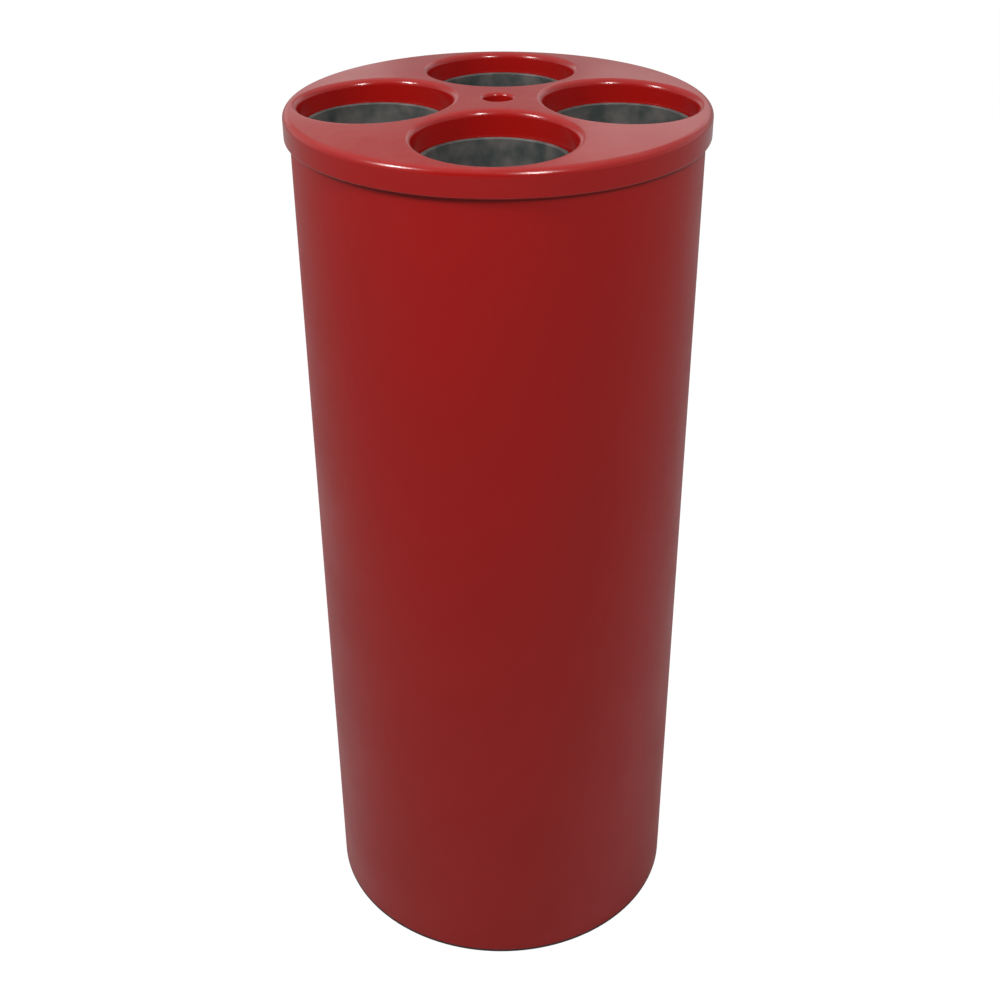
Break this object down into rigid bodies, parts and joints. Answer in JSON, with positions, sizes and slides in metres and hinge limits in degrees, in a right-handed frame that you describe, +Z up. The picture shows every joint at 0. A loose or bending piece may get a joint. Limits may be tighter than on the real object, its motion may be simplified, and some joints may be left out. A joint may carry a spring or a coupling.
{
  "type": "cup collector bin",
  "caption": "Tall round collector bin for used cups: a plain tube casing, a lid with round mouths round a small stirrer hole, and lift-out inner tubes.",
  "frame": {"origin": "centre of the circle that the feet stand in, on the ground", "axes": "+Z up along the bin's axis; the front mouth is towards -Y and the right one towards +X"},
  "size_m": [0.257, 0.257, 0.5925],
  "materials": {
    "casing": "satin",
    "lid": "gloss",
    "inner_tube": "satin",
    "end_plug": "satin",
    "base": "satin",
    "foot": "matt",
    "screw": "zinc plated"
  },
  "bodies": {
    "bin": {"body_tube": "casing", "base_cap": "base", "rubber_foot_1": "foot", "rubber_foot_2": "foot", "rubber_foot_3": "foot", "rubber_foot_4": "foot", "foot_screw_1": "screw", "foot_screw_2": "screw", "foot_screw_3": "screw", "foot_screw_4": "screw"},
    "lid": {"lid": "lid"},
    "cup_tube_front": {"cup_tube_front": "inner_tube", "cup_tube_plug_front": "end_plug"},
    "cup_tube_right": {"cup_tube_right": "inner_tube", "cup_tube_plug_right": "end_plug"},
    "cup_tube_back": {"cup_tube_back": "inner_tube", "cup_tube_plug_back": "end_plug"},
    "cup_tube_left": {"cup_tube_left": "inner_tube", "cup_tube_plug_left": "end_plug"},
    "stirrer_tube": {"stirrer_tube": "inner_tube", "stirrer_tube_plug": "end_plug"}
  },
  "joints": [
    {"name": "lid_lift", "type": "slide", "parent": "bin", "child": "lid", "axis": [0, 0, 1], "range_m": [0, 0.15]},
    {"name": "cup_tube_front_lift", "type": "slide", "parent": "bin", "child": "cup_tube_front", "axis": [0, 0, 1], "range_m": [0, 0.6]},
    {"name": "cup_tube_right_lift", "type": "slide", "parent": "bin", "child": "cup_tube_right", "axis": [0, 0, 1], "range_m": [0, 0.6]},
    {"name": "cup_tube_back_lift", "type": "slide", "parent": "bin", "child": "cup_tube_back", "axis": [0, 0, 1], "range_m": [0, 0.6]},
    {"name": "cup_tube_left_lift", "type": "slide", "parent": "bin", "child": "cup_tube_left", "axis": [0, 0, 1], "range_m": [0, 0.6]},
    {"name": "stirrer_tube_lift", "type": "slide", "parent": "bin", "child": "stirrer_tube", "axis": [0, 0, 1], "range_m": [0, 0.6]}
  ]
}
